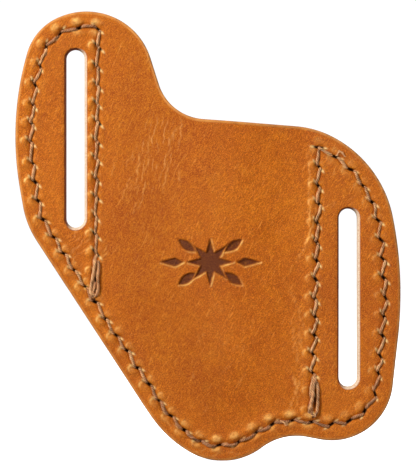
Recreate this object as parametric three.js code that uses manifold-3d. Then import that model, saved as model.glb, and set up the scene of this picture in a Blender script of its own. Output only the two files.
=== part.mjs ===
// Pancake belt sheath for a folding knife: two leather panels of one outline, joined by two seams.
// Each seam is a lockstitch, so it holds a needle thread on the front and a bobbin thread on the back.
// Millimetres. +Z is up, the front faces -Y and the flat back faces +Y, towards the wearer.
// The origin is on the back face, halfway between the two belt slots, where the belt's centre line runs.

import * as THREE from 'three';
import { mergeVertices } from 'three/addons/utils/BufferGeometryUtils.js';
import Module from 'manifold-3d';

const wasm = await Module();
wasm.setup();

// Leather: one thickness for both panels, which lie face to face everywhere but in the pocket.
const LEATHER = 3;
const MIDPLANE_Y = -LEATHER;
const FRONT_Y = -2 * LEATHER;

// The front panel is formed outwards over the pocket, and the back panel stays flat.
const POCKET_RISE = 5;
const RISE_REACH = 26; // distance from a seam at which the full rise is met
const FORM_CELL = 4.5; // facet size of the formed surface
const SLAB_WIDTH = 108;
const SLAB_HEIGHT = 126;
const SLAB_CENTRE_Z = -4.5;

// Pattern outline: the corners of a polygon, each rounded by its own radius r, anticlockwise from the top.
const OUTLINE_CORNERS = [
  { x: -21.5, z: 59, r: 17.5 },
  { x: -46, z: 50, r: 14.5 },
  { x: -53, z: 25.5, r: 78 },
  { x: -48.25, z: -1.75, r: 24 },
  { x: -17, z: -49.75, r: 133 },
  { x: -11.75, z: -57.25, r: 31 },
  { x: 3.75, z: -66.5, r: 17 },
  { x: 18.5, z: -55.75, r: 15 },
  { x: 45.25, z: -60.75, r: 16 },
  { x: 50.25, z: -15.25, r: 101 },
  { x: 44.5, z: 13.75, r: 30 },
  { x: 27.5, z: 23.5, r: 25 },
  { x: -11, z: 26.25, r: 13 },
];
const EDGE_STEP = 3; // facet length round the cut edge
const FINE_STEP = 0.5; // step for walking along a curve
const POCKET_EDGE_EVERY = 4; // of those steps, how many make one side of the pocket's outline

// Two belt slots for a 45 mm belt, stepped so that the sheath rides canted.
const SLOT = { width: 4.8, length: 46.4, spacing: 71, step: 41.4 };
const SLOT_END_FACETS = 10;

// Seams: one margin inside the edge from mouth corner to mouth corner, and a straight line up each side.
const SEAM_INSET = 4.1;
const LEFT_LINE = { topX: -29.5, topZ: 62, bottomX: -30.3, bottomZ: -30 };
const RIGHT_LINE = { topX: 28.1, topZ: 32, bottomX: 26.4, bottomZ: -60 };
const LINE_STOP = 3; // a side line's last hole is this far above the margin seam
const STITCH_PITCH = 5;
const OVERLAP_FROM = 6; // stitches of the bottom run where both seams share the holes, from the left
const OVERLAP_TO = 13;

// Thread, the holes that it dips into and the channel that it beds in.
const THREAD_RADIUS = 0.45;
const THREAD_SIDES = 4;
const THREAD_GAP = 0.3;
const THREAD_SPREAD = 0.6; // each thread's sideways shift where two threads share the holes
const CHANNEL_DEPTH = 1.3;
const CHANNEL_HALF_WIDTH = 0.9;
const HOLE_LENGTH = 2.4;
const HOLE_HALF_WIDTH = THREAD_RADIUS + THREAD_GAP;
const DIP_HALF_LENGTH = 1;
const DIP_FROM_MIDPLANE = 0.8;
const BED_FROM_MIDPLANE = LEATHER - CHANNEL_DEPTH + THREAD_GAP + THREAD_RADIUS;
const CORNER_TURN = 0.5; // radians between two stitches that make a hole a corner
const SHARPEST_MITRE = 0.5; // cosine at which a ribbon's corner stops growing longer

// Debossed ornament: an eight-pointed star between two long darts, with four leaves.
const MARK = { x: -0.4, z: -11.4, depth: 0.6 };
const STAR = { points: 8, outer: 6, inner: 2.6 };
const DART = { from: 7, to: 13, halfWidth: 1.1 };
const LEAF = { distance: 7.4, length: 5.4, halfWidth: 1.1, angle: 0.62, facets: 4 };

const THROUGH = 40; // long enough to cut through everything
const SAME_POINT = 1e-4; // corners nearer than this are one corner

const leatherMaterial = (name) =>
  new THREE.MeshStandardMaterial({ name, color: '#c1691f', roughness: 0.55, metalness: 0 });
const threadMaterial = new THREE.MeshStandardMaterial({ color: '#94643c', roughness: 0.75, metalness: 0 });

// ---------- plane curves, as THREE.Vector2 (x, z) ----------

// One corner of a polygon as an arc of the given radius, tangent to both sides, in steps of about `step`.
function roundedCorner(before, corner, after, step) {
  const at = new THREE.Vector2(corner.x, corner.z);
  const toBefore = new THREE.Vector2(before.x, before.z).sub(at).normalize();
  const toAfter = new THREE.Vector2(after.x, after.z).sub(at).normalize();
  const half = Math.acos(toBefore.dot(toAfter)) / 2;
  const centre = toBefore.clone().add(toAfter).normalize().multiplyScalar(corner.r / Math.sin(half)).add(at);
  const start = toBefore.multiplyScalar(corner.r / Math.tan(half)).add(at).sub(centre);
  const end = toAfter.multiplyScalar(corner.r / Math.tan(half)).add(at).sub(centre);
  const sweep = Math.atan2(start.cross(end), start.dot(end));
  const steps = Math.max(1, Math.ceil((Math.abs(sweep) * corner.r) / step));
  const centreOrigin = new THREE.Vector2();
  return Array.from({ length: steps + 1 }, (_, i) =>
    start.clone().rotateAround(centreOrigin, (sweep * i) / steps).add(centre));
}

function outlinePoints(step) {
  const count = OUTLINE_CORNERS.length;
  return OUTLINE_CORNERS.flatMap((corner, i) =>
    roundedCorner(OUTLINE_CORNERS[(i + count - 1) % count], corner, OUTLINE_CORNERS[(i + 1) % count], step));
}

// Points at equal steps of about `pitch` along an open polyline, both ends included.
function evenPoints(line, pitch) {
  const lengths = [0];
  for (let i = 1; i < line.length; i += 1) {
    lengths.push(lengths[i - 1] + line[i].distanceTo(line[i - 1]));
  }
  const total = lengths.at(-1);
  const count = Math.round(total / pitch);
  let segment = 1;
  return Array.from({ length: count + 1 }, (_, k) => {
    const target = (total * k) / count;
    while (segment < line.length - 1 && lengths[segment] < target) segment += 1;
    const share = (target - lengths[segment - 1]) / (lengths[segment] - lengths[segment - 1]);
    return line[segment - 1].clone().lerp(line[segment], share);
  });
}

// The closed outline moved inwards; anticlockwise, so the inside is on the left of travel.
function insetLine(points, inset) {
  return points.map((point, i) => {
    const along = points[(i + 1) % points.length].clone().sub(points.at(i - 1)).normalize();
    return new THREE.Vector2(-along.y, along.x).multiplyScalar(inset).add(point);
  });
}

function lineXAt(line, z) {
  return THREE.MathUtils.mapLinear(z, line.bottomZ, line.topZ, line.bottomX, line.topX);
}

function distanceToSegment(point, a, b) {
  const along = b.clone().sub(a);
  const share = THREE.MathUtils.clamp(point.clone().sub(a).dot(along) / along.lengthSq(), 0, 1);
  return a.clone().addScaledVector(along, share).distanceTo(point);
}

function isInside(polygon, point) {
  let inside = false;
  for (let i = 0, j = polygon.length - 1; i < polygon.length; j = i, i += 1) {
    const a = polygon[i];
    const b = polygon[j];
    const crosses = a.y > point.y !== b.y > point.y;
    if (crosses && point.x < ((b.x - a.x) * (point.y - a.y)) / (b.y - a.y) + a.x) inside = !inside;
  }
  return inside;
}

// ---------- seams ----------

// The margin seam runs anticlockwise; each side line cuts it at a mouth corner and at the bottom.
function cutMargin() {
  const rounded = outlinePoints(FINE_STEP);
  const edge = evenPoints([...rounded, rounded[0]], FINE_STEP).slice(0, -1);
  const margin = insetLine(edge, SEAM_INSET);
  const crossings = [];
  margin.forEach((point, i) => {
    const next = margin[(i + 1) % margin.length];
    [LEFT_LINE, RIGHT_LINE].forEach((line) => {
      const before = point.x - lineXAt(line, point.y);
      const after = next.x - lineXAt(line, next.y);
      if (before * after < 0) crossings.push(i);
    });
  });
  // In order of travel from the top: left mouth corner, left junction, right junction, right mouth corner.
  const [mouthLeft, junctionLeft, junctionRight, mouthRight] = crossings;
  return {
    leftSide: margin.slice(mouthLeft, junctionLeft + 1),
    bottom: margin.slice(junctionLeft, junctionRight + 1),
    rightSide: margin.slice(junctionRight, mouthRight + 1),
  };
}

const margin = cutMargin();
const bottomHoles = evenPoints(margin.bottom, STITCH_PITCH);
const leftSideHoles = evenPoints(margin.leftSide, STITCH_PITCH);
const rightSideHoles = evenPoints(margin.rightSide, STITCH_PITCH);

function sideLineHoles(corner, junction) {
  const stop = new THREE.Vector2(junction.x, junction.y + LINE_STOP);
  return evenPoints([corner, stop], STITCH_PITCH);
}

const leftLineHoles = sideLineHoles(leftSideHoles[0], bottomHoles[0]);
const rightLineHoles = sideLineHoles(rightSideHoles.at(-1), bottomHoles.at(-1));

// Each seam in the order it is sewn: along the bottom, up the side, round the mouth corner and down the line.
const overlapHoles = new Set(bottomHoles.slice(OVERLAP_FROM, OVERLAP_TO + 1));
const leftRoute = [
  ...bottomHoles.slice(0, OVERLAP_TO + 1).reverse(),
  ...leftSideHoles.slice(0, -1).reverse(),
  ...leftLineHoles.slice(1),
];
const rightRoute = [
  ...bottomHoles.slice(OVERLAP_FROM),
  ...rightSideHoles.slice(1),
  ...rightLineHoles.slice(1),
];

// ---------- pocket form ----------

const pocketEdge = [
  new THREE.Vector2(LEFT_LINE.topX, LEFT_LINE.topZ),
  ...margin.bottom.filter((_, i) => i % POCKET_EDGE_EVERY === 0),
  new THREE.Vector2(RIGHT_LINE.topX, RIGHT_LINE.topZ),
];
const pocketArea = [...pocketEdge, new THREE.Vector2(RIGHT_LINE.topX, LEFT_LINE.topZ)];

// How far the front panel stands off the midplane: nothing at a seam, all of it well inside the pocket.
function riseAt(x, z) {
  const point = new THREE.Vector2(x, z);
  if (!isInside(pocketArea, point)) return 0;
  let nearest = Infinity;
  for (let i = 1; i < pocketEdge.length; i += 1) {
    nearest = Math.min(nearest, distanceToSegment(point, pocketEdge[i - 1], pocketEdge[i]));
  }
  return POCKET_RISE * THREE.MathUtils.smoothstep(nearest, 0, RISE_REACH);
}

// ---------- solids ----------

function toSolid(geometry) {
  const bare = geometry.clone();
  bare.deleteAttribute('normal');
  bare.deleteAttribute('uv');
  const merged = mergeVertices(bare, SAME_POINT);
  return new wasm.Manifold(new wasm.Mesh({
    numProp: 3,
    vertProperties: new Float32Array(merged.attributes.position.array),
    triVerts: new Uint32Array(merged.index.array),
  }));
}

function toGeometry(solid) {
  const mesh = solid.getMesh();
  const geometry = new THREE.BufferGeometry();
  geometry.setAttribute('position', new THREE.BufferAttribute(new Float32Array(mesh.vertProperties), 3));
  geometry.setIndex(new THREE.BufferAttribute(new Uint32Array(mesh.triVerts), 1));
  const faceted = geometry.toNonIndexed();
  faceted.computeVertexNormals();
  return faceted;
}

function joined(solids) {
  return solids.reduce((whole, solid) => whole.add(solid));
}

// A prism of (x, z) shapes between two depths along Y.
function prism(shapes, fromY, toY) {
  const geometry = new THREE.ExtrudeGeometry(shapes, { depth: toY - fromY, bevelEnabled: false });
  geometry.rotateX(Math.PI / 2);
  geometry.translate(0, toY, 0);
  return toSolid(geometry);
}

function slotPath(side) {
  const radius = SLOT.width / 2;
  const x = (side * SLOT.spacing) / 2;
  const z = (-side * SLOT.step) / 2;
  const reach = SLOT.length / 2 - radius;
  const end = (up) => Array.from({ length: SLOT_END_FACETS + 1 }, (_, i) => {
    const angle = (Math.PI * i) / SLOT_END_FACETS + (up ? 0 : Math.PI);
    return new THREE.Vector2(x + radius * Math.cos(angle), z + (up ? reach : -reach) + radius * Math.sin(angle));
  });
  return new THREE.Path([...end(true), ...end(false)]);
}

function patternSolid() {
  const shape = new THREE.Shape(outlinePoints(EDGE_STEP));
  shape.holes.push(slotPath(-1), slotPath(1));
  return prism([shape], -THROUGH, THROUGH);
}

// A slab one leather thick, pushed towards the front by rise(x, z).
function leatherSlab(frontY, backY, rise) {
  const columns = Math.round(SLAB_WIDTH / FORM_CELL);
  const rows = Math.round(SLAB_HEIGHT / FORM_CELL);
  const slab = new THREE.BoxGeometry(SLAB_WIDTH, backY - frontY, SLAB_HEIGHT, columns, 1, rows);
  slab.translate(0, (frontY + backY) / 2, SLAB_CENTRE_Z);
  const points = slab.attributes.position;
  for (let i = 0; i < points.count; i += 1) {
    points.setY(i, points.getY(i) - rise(points.getX(i), points.getZ(i)));
  }
  return toSolid(slab);
}

// A ribbon of even width through the holes, run past both ends, for cutting the thread's channel.
function ribbonShape(holes, halfWidth) {
  const past = HOLE_LENGTH / 2;
  const first = holes[0].clone().sub(holes[1]).setLength(past).add(holes[0]);
  const last = holes.at(-1).clone().sub(holes.at(-2)).setLength(past).add(holes.at(-1));
  const line = [first, ...holes.slice(1, -1), last];
  const side = (sign) => line.map((point, i) => {
    const into = point.clone().sub(line[Math.max(i - 1, 0)]);
    const out = line[Math.min(i + 1, line.length - 1)].clone().sub(point);
    const along = into.normalize().add(out.normalize()).normalize();
    const straight = out.lengthSq() > 0 ? out : into;
    const mitre = halfWidth / Math.max(along.dot(straight), SHARPEST_MITRE);
    return new THREE.Vector2(-along.y, along.x).multiplyScalar(sign * mitre).add(point);
  });
  return new THREE.Shape([...side(-1), ...side(1).reverse()]);
}

function holeSolid(route, i) {
  const hole = route[i];
  const into = hole.clone().sub(route[Math.max(i - 1, 0)]);
  const out = route[Math.min(i + 1, route.length - 1)].clone().sub(hole);
  const isCorner = into.lengthSq() > 0 && out.lengthSq() > 0 && Math.abs(into.angleTo(out)) > CORNER_TURN;
  const spread = overlapHoles.has(hole) ? THREAD_SPREAD : 0;
  const width = isCorner ? HOLE_LENGTH : 2 * (HOLE_HALF_WIDTH + spread);
  const box = new THREE.BoxGeometry(HOLE_LENGTH, THROUGH, width);
  box.rotateY(-into.add(out).angle());
  box.translate(hole.x, 0, hole.y);
  return toSolid(box);
}

// What both panels are cut by: the channels, from either face, and the holes, each only once where seams share.
const wideRun = bottomHoles.slice(OVERLAP_FROM - 1, OVERLAP_TO + 2);
const channelShapes = [
  ribbonShape(leftSideHoles, CHANNEL_HALF_WIDTH),
  ribbonShape(bottomHoles, CHANNEL_HALF_WIDTH),
  ribbonShape(rightSideHoles, CHANNEL_HALF_WIDTH),
  ribbonShape(leftLineHoles, CHANNEL_HALF_WIDTH),
  ribbonShape(rightLineHoles, CHANNEL_HALF_WIDTH),
  ribbonShape(wideRun, CHANNEL_HALF_WIDTH + THREAD_SPREAD),
];
const holeNumbers = (route) => route.map((_, i) => i);
const leftOnly = holeNumbers(leftRoute).filter((i) => !overlapHoles.has(leftRoute[i]));
const holes = joined([
  ...leftOnly.map((i) => holeSolid(leftRoute, i)),
  ...holeNumbers(rightRoute).map((i) => holeSolid(rightRoute, i)),
]);

function channel(fromY, toY) {
  return joined(channelShapes.map((shape) => prism([shape], fromY, toY)));
}

// ---------- ornament ----------

function starShape() {
  const corners = Array.from({ length: 2 * STAR.points }, (_, i) => {
    const radius = i % 2 === 0 ? STAR.outer : STAR.inner;
    const angle = (Math.PI * i) / STAR.points;
    return new THREE.Vector2(MARK.x + radius * Math.cos(angle), MARK.z + radius * Math.sin(angle));
  });
  return new THREE.Shape(corners);
}

function dartShape(side) {
  const belly = DART.from + (DART.to - DART.from) / 3;
  const corners = [[DART.from, 0], [belly, -DART.halfWidth], [DART.to, 0], [belly, DART.halfWidth]];
  return new THREE.Shape(corners.map(([x, z]) => new THREE.Vector2(MARK.x + side * x, MARK.z + z)));
}

function leafShape(angle) {
  const centre = new THREE.Vector2(MARK.x, MARK.z);
  const edge = (sign) => Array.from({ length: LEAF.facets }, (_, i) => {
    const share = i / LEAF.facets;
    const along = LEAF.distance + sign * LEAF.length * (share - 0.5);
    return new THREE.Vector2(along, sign * LEAF.halfWidth * Math.sin(Math.PI * share));
  });
  const corners = [...edge(-1), ...edge(1)].map((corner) =>
    corner.rotateAround(new THREE.Vector2(), angle).add(centre));
  return new THREE.Shape(corners);
}

function ornament(floorY) {
  const leafAngles = [LEAF.angle, -LEAF.angle, Math.PI - LEAF.angle, Math.PI + LEAF.angle];
  const shapes = [starShape(), dartShape(-1), dartShape(1), ...leafAngles.map(leafShape)];
  return prism(shapes, -THROUGH, floorY);
}

// ---------- threads ----------

// A thread's run through its stations, one section at each station.
class ThreadPath extends THREE.Curve {
  constructor(stations) {
    super();
    this.stations = stations;
  }

  getPoint(t) {
    const place = t * (this.stations.length - 1);
    const index = Math.min(Math.floor(place), this.stations.length - 2);
    return this.stations[index].clone().lerp(this.stations[index + 1], place - index);
  }

  getTangent(t) {
    const index = Math.round(t * (this.stations.length - 1));
    const before = this.stations[Math.max(index - 1, 0)];
    const after = this.stations[Math.min(index + 1, this.stations.length - 1)];
    return after.clone().sub(before).normalize();
  }

  getPointAt(u) {
    return this.getPoint(u);
  }

  getTangentAt(u) {
    return this.getTangent(u);
  }
}

// Down into each hole, out again and along the channel to the next. face is -1 on the front, 1 on the back.
function threadStations(route, face, spread) {
  const sideways = (i) => (overlapHoles.has(route[i]) ? spread : 0);
  const moved = (i, toward, distance) => {
    const along = route[toward].clone().sub(route[i]).normalize();
    const travel = toward > i ? along : along.clone().negate();
    const aside = new THREE.Vector2(-travel.y, travel.x).multiplyScalar(sideways(i));
    return along.multiplyScalar(distance).add(aside).add(route[i]);
  };
  const station = (point, fromMidplane) =>
    new THREE.Vector3(point.x, MIDPLANE_Y + face * fromMidplane, point.y);
  return route.flatMap((_, i) => {
    const bottom = station(moved(i, i > 0 ? i - 1 : i + 1, 0), DIP_FROM_MIDPLANE);
    const entry = i > 0 ? [station(moved(i, i - 1, DIP_HALF_LENGTH), BED_FROM_MIDPLANE)] : [];
    const last = i === route.length - 1;
    const exit = last ? [] : [station(moved(i, i + 1, DIP_HALF_LENGTH), BED_FROM_MIDPLANE)];
    return [...entry, bottom, ...exit];
  });
}

function threadGeometry(route, face, spread) {
  const stations = threadStations(route, face, spread);
  const section = new THREE.Shape(Array.from({ length: THREAD_SIDES }, (_, i) => {
    const angle = (2 * Math.PI * i) / THREAD_SIDES;
    return new THREE.Vector2(THREAD_RADIUS * Math.cos(angle), THREAD_RADIUS * Math.sin(angle));
  }));
  return new THREE.ExtrudeGeometry(section, {
    steps: stations.length - 1,
    extrudePath: new ThreadPath(stations),
    bevelEnabled: false,
  });
}

// ---------- assembly ----------

const pattern = patternSolid();
const flat = () => 0;
const frontChannelFloor = MIDPLANE_Y - (LEATHER - CHANNEL_DEPTH);
const backChannelFloor = MIDPLANE_Y + (LEATHER - CHANNEL_DEPTH);
const markFloor = FRONT_Y - riseAt(MARK.x, MARK.z) + MARK.depth;

const frontSolid = leatherSlab(FRONT_Y, MIDPLANE_Y, riseAt)
  .intersect(pattern)
  .subtract(holes)
  .subtract(channel(-THROUGH, frontChannelFloor))
  .subtract(ornament(markFloor));

const backSolid = leatherSlab(MIDPLANE_Y, 0, flat)
  .intersect(pattern)
  .subtract(holes)
  .subtract(channel(backChannelFloor, THROUGH));

const sheath = new THREE.Group();

function addPart(name, geometry, material) {
  const mesh = new THREE.Mesh(geometry, material);
  mesh.name = name;
  sheath.add(mesh);
}

addPart('front_panel', toGeometry(frontSolid), leatherMaterial('front leather'));
addPart('back_panel', toGeometry(backSolid), leatherMaterial('back leather'));
addPart('left_seam_needle_thread', threadGeometry(leftRoute, -1, THREAD_SPREAD), threadMaterial);
addPart('left_seam_bobbin_thread', threadGeometry(leftRoute, 1, THREAD_SPREAD), threadMaterial);
addPart('right_seam_needle_thread', threadGeometry(rightRoute, -1, THREAD_SPREAD), threadMaterial);
addPart('right_seam_bobbin_thread', threadGeometry(rightRoute, 1, THREAD_SPREAD), threadMaterial);

export default sheath;
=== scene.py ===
import math

import bpy
import numpy as np
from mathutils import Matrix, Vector
from mathutils.geometry import delaunay_2d_cdt


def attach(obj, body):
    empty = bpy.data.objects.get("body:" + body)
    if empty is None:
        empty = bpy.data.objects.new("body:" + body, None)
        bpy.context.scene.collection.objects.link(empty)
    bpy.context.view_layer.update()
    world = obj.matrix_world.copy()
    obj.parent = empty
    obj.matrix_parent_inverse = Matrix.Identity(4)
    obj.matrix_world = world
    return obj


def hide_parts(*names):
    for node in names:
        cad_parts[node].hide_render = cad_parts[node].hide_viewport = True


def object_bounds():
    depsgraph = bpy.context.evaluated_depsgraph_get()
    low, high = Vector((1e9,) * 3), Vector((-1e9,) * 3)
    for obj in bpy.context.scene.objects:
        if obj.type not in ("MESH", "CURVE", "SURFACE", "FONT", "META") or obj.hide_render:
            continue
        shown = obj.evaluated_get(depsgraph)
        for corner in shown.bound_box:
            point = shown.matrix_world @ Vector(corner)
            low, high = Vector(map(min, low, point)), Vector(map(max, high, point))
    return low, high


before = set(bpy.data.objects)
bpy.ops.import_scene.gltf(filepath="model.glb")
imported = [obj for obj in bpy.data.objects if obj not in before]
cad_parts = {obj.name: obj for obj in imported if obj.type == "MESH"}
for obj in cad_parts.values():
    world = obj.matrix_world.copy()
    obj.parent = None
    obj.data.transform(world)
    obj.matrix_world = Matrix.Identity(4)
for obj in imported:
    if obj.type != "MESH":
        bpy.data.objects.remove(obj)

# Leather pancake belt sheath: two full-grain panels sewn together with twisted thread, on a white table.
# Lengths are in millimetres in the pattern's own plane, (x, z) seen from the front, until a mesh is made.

CAD_LOW, CAD_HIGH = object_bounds()
MM = 0.001
RNG = np.random.default_rng(7)

# ---- driving dimensions, as in the CAD model ----

LEATHER = 3.0
MIDPLANE_Y = -LEATHER
POCKET_RISE = 5.0
RISE_REACH = 26.0
OUTLINE_CORNERS = [  # x, z, radius; anticlockwise from the top
    (-21.5, 59, 17.5), (-46, 50, 14.5), (-53, 25.5, 78), (-48.25, -1.75, 24),
    (-17, -49.75, 133), (-11.75, -57.25, 31), (3.75, -66.5, 17), (18.5, -55.75, 15),
    (45.25, -60.75, 16), (50.25, -15.25, 101), (44.5, 13.75, 30), (27.5, 23.5, 25),
    (-11, 26.25, 13),
]
SLOT_WIDTH, SLOT_LENGTH, SLOT_SPACING, SLOT_STEP = 4.8, 46.4, 71.0, 41.4
SEAM_INSET = 4.1
LEFT_LINE = ((-29.5, 62.0), (-30.3, -30.0))
RIGHT_LINE = ((28.1, 32.0), (26.4, -60.0))
LINE_STOP = 3.0
STITCH_PITCH = 5.0
OVERLAP_FROM, OVERLAP_TO = 6, 13
MARK_X, MARK_Z = -0.4, -11.4
STAR_POINTS, STAR_OUTER, STAR_INNER = 8, 6.0, 2.6
DART_FROM, DART_TO, DART_HALF = 7.0, 13.0, 1.1
LEAF_DISTANCE, LEAF_LENGTH, LEAF_HALF, LEAF_ANGLE = 7.4, 5.4, 1.1, 0.62

# ---- finer dimensions that only the looks need ----

MARGIN_STEP = 0.5
POCKET_EDGE_EVERY = 4  # of those steps, in one side of the pocket's outline
ARC_STEP = 0.2
SLOT_END_POINTS = 25
EDGE_STEP = 0.4
FINE_GRID = 0.26  # point spacing near the seams, the ornament and the folds
COARSE_EVERY = 2  # elsewhere, only every second point of every second row is used
FINE_REACH = 2.6
FLESH_GRID = 1.6
RIM_CLEARANCE, FLESH_CLEARANCE = 0.22, 0.7  # between a rim and the first points of the grid
# How an edge falls from the grain to the flesh side: (inset from the cut, depth below the grain).
EDGE_PROFILE = [
    (0.85, 0), (0.55, 0.035), (0.3, 0.13), (0.12, 0.3), (0.02, 0.58), (-0.02, 1), (-0.03, 1.6),
    (-0.02, 2.2), (0.01, 2.6), (0.07, 2.84), (0.2, 2.97),
]
SLOT_PROFILE = [
    (1.05, 0), (0.85, 0.05), (0.68, 0.14), (0.5, 0.29), (0.33, 0.5), (0.17, 0.78), (0.05, 1.15),
    (0, 1.7), (0, 2.3), (0.05, 2.75), (0.2, 2.97),
]
EDGE_CUT = (0.1, 0.55)  # depths where the raw cut begins to show and where it shows fully
SLOT_CUT = (0.02, 0.2)
LIT_RIM_TOWARDS = np.array([0.8, -0.6])  # a slot's rim is broader on this side of it, and its colour is painted light: light cream where it faces this way, as if lit, dark brown as painted shade on the far side
NARROW_RIM, RIM_GROWTH = 0.52, 0.36
EDGE_GLINT_TOWARDS = np.array([0.4, 0.92])  # the outer edge gets a painted highlight where it faces this way
EDGE_GLINT = 0.7
EDGE_HIGHLIGHT_LEVELS = {1: 0.5, 2: 1.0, 3: 0.7, 4: 0.2}  # how strongly a painted highlight lies on the first levels of the edge all round

# Each hole is a slit, slanted against its seam: less where the seam runs level than where it's upright.
LEVEL_SLANT = math.radians(17)
UPRIGHT_SLANT = math.radians(39)
SLIT_HALF_LENGTH, SLIT_HALF_WIDTH, TACKED_HALF_LENGTH = 1.4, 0.26, 0.55
LEFT_CORNER = (math.radians(-42), 0.7)  # how the corner's slit lies, and the thread's share of it
RIGHT_CORNER = (math.radians(-8), 0.1)
HOLE_WANDER, SLANT_WANDER, SWELL_WANDER = 0.13, 0.08, 0.12
LIP_WIDTH, LIP_BEYOND = 0.4, 0.35
# The tips beyond each slit are raised a little and painted lighter, partly for the stretched leather there
# and partly as a painted highlight.
TIP_AT, TIP_LENGTH, TIP_WIDTH = 0.35, 0.55, 0.3
SLIT_DEPTH, SLIT_SINK, TIP_RISE = 1.5, 0.2, 0.18
SHARES = {  # how far from its middle towards a slit's end the thread comes and goes
    "left_line": (0.05, 0.4), "left_side": (0.35, 0.8), "right_side": (0.5, 0.9), "right_line": (0.35, 0.8),
    "bottom": (0.4, 0.85),
}
# The leather swells up beside each stitch, most on the upper left, with a painted highlight in a crescent
# there, where it faces the key light.
SWELLS = {"left_line": 1.0, "left_side": 1.0, "right_side": 0.5, "right_line": 0.8, "bottom": 1.1}
SWELL_TOWARDS = np.array([-0.8, 0.6])
SWELL_MEAN, SWELL_SWING = 0.62, 0.36
MOUND_HEIGHT, MOUND_LONG, MOUND_WIDE = 0.6, 1.5, 1.0
MOUND_ASIDE, MOUND_SHIFT = 1.3, 0.45
ARC_RADIUS, ARC_WIDTH = 0.95, 0.24
HOLE_REACH, SLIT_REACH = 4.5, 2.2
PULL_DEPTH, PULL_WIDTH, PULL_REACH = 0.35, 0.65, 6.5
UNEVENNESS = [(0.1, 26, 9, 11), (0.035, 7, 14, 12), (0.012, 2.6, 20, 13)]  # height, wavelength, waves, seed
MARK_DEPTH, MARK_WALL = 0.5, 0.45
# The ornament's raised rim lies on this side of each of its shapes, with a painted highlight, as if lit
# from the upper left.
LIP_TOWARDS = np.array([0.75, -0.66])
LIP_STEP, LIP_HEIGHT = 0.1, 0.1
CREASES = [  # x, z, half width, half height, lean from upright, count, length, height
    (-13.5, 19.5, 6, 9, -8, 9, 7, 0.07),
    (-22, 10, 5, 7, -20, 8, 4, 0.05),
    (33, 8, 6, 9, -40, 16, 5, 0.045),
    (-33, -7, 6, 4, -38, 12, 5, 0.06),
    (22.5, -36, 1.6, 14, 2, 6, 14, 0.05),
    (21.7, -44.5, 0.6, 3, 2, 4, 11, 0.1),
    (25.4, 2.5, 0.2, 9, 0, 4, 13, 0.12),
    (3, -61, 9, 1.2, -70, 7, 5, 0.08),
    (-12, -56.5, 4, 3.5, 40, 8, 3.5, 0.06),
    (4, -38, 12, 12, -35, 10, 4, 0.04),
]
FINE_CREASES = 4  # the first of them, wide patches of folds, get the fine grid
FULL_CREASE = 0.08
WRINKLES = [(-14, 19, 6.5, 10), (-19, 10, 5, 8)]  # x, z, half width, half height
COUNTER_SHADE_TOWARDS = np.array([0.85, -0.5])  # painted light: the front is painted lighter where it slopes down this way, away from the key light, and darker where it rises this way towards it, to even out the pocket's shading
COUNTER_SHADE_SLOPE = 0.28

# The material's grain, scratches and folds lie at these slants.
GRAIN_TURN, SCRATCH_TURN, FOLD_TURN = math.radians(-36), math.radians(-28), math.radians(-12)

PLIES, PLY_RADIUS, PLY_OFFSET, PLY_SIDES = 3, 0.175, 0.215, 8
TWIST_PITCH = 1.9
FIBRES, FIBRE_RADIUS, FIBRE_SIDES = 4, 0.06, 5
DIVE_SHARE = 0.1
DOUBLED_ASIDE, DOUBLED_PROUD = 0.24, 0.08
TACK_ASIDE = -0.4
# Where the thread is darker with age: (from, over how much further).
AGED_BELOW, AGED_ABOVE, AGED_LEFT_OF = (-38, 14), (40, 6), (-30, 2)
STITCH_WANDER = 0.07
STITCH_POINTS, LOOSE_POINTS, PATH_STEPS = 30, 16, 12
STITCH_ARCH = np.array([-1.5, -0.5, -0.1, 0.0, -0.1, -0.5, -1.5])
PROUD_SHARE = np.array([0, 0.3, 1, 1, 1, 0.3, 0])


def unit(v):
    return v / np.maximum(np.linalg.norm(v, axis=-1, keepdims=True), 1e-12)


def leftward(v):
    """Vectors turned a quarter turn anticlockwise, as seen from the front."""
    return np.stack([-v[..., 1], v[..., 0]], axis=-1)


def turned(v, angle):
    """Vectors turned anticlockwise, as seen from the front."""
    c, s = np.cos(angle), np.sin(angle)
    return np.stack([c * v[..., 0] - s * v[..., 1], s * v[..., 0] + c * v[..., 1]], axis=-1)


def smoothstep(x):
    """From 0 to 1 as x goes from 0 to 1, level at both ends."""
    x = np.clip(x, 0, 1)
    return x * x * (3 - 2 * x)


# ---- plane curves ----

def rounded_corner(before, corner, after, step):
    """The points of one corner of the outline, an arc of the corner's own radius."""
    at, radius = np.array(corner[:2]), corner[2]
    to_before = unit(np.array(before[:2]) - at)
    to_after = unit(np.array(after[:2]) - at)
    half = math.acos(to_before @ to_after) / 2
    centre = at + unit(to_before + to_after) * radius / math.sin(half)
    start = at + to_before * radius / math.tan(half) - centre
    end = at + to_after * radius / math.tan(half) - centre
    sweep = math.atan2(start[0] * end[1] - start[1] * end[0], start @ end)
    count = max(1, math.ceil(abs(sweep) * radius / step))
    return centre + turned(np.broadcast_to(start, (count + 1, 2)), np.linspace(0, sweep, count + 1))


def lengths_along(line):
    """How far along a polyline each of its points is."""
    return np.concatenate([[0], np.cumsum(np.linalg.norm(np.diff(line, axis=0), axis=1))])


def even_points(line, pitch):
    """Points at equal steps of about pitch along an open polyline, both ends included."""
    lengths = lengths_along(line)
    targets = np.linspace(0, lengths[-1], round(lengths[-1] / pitch) + 1)
    return np.stack([np.interp(targets, lengths, line[:, k]) for k in (0, 1)], axis=1)


def closed_even(line, pitch):
    return even_points(np.vstack([line, line[:1]]), pitch)[:-1]


def outline(step):
    corners = OUTLINE_CORNERS
    arcs = [
        rounded_corner(before, corner, after, ARC_STEP)
        for before, corner, after in zip(corners[-1:] + corners, corners, corners[1:] + corners[:1])
    ]
    return closed_even(np.vstack(arcs), step)


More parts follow.
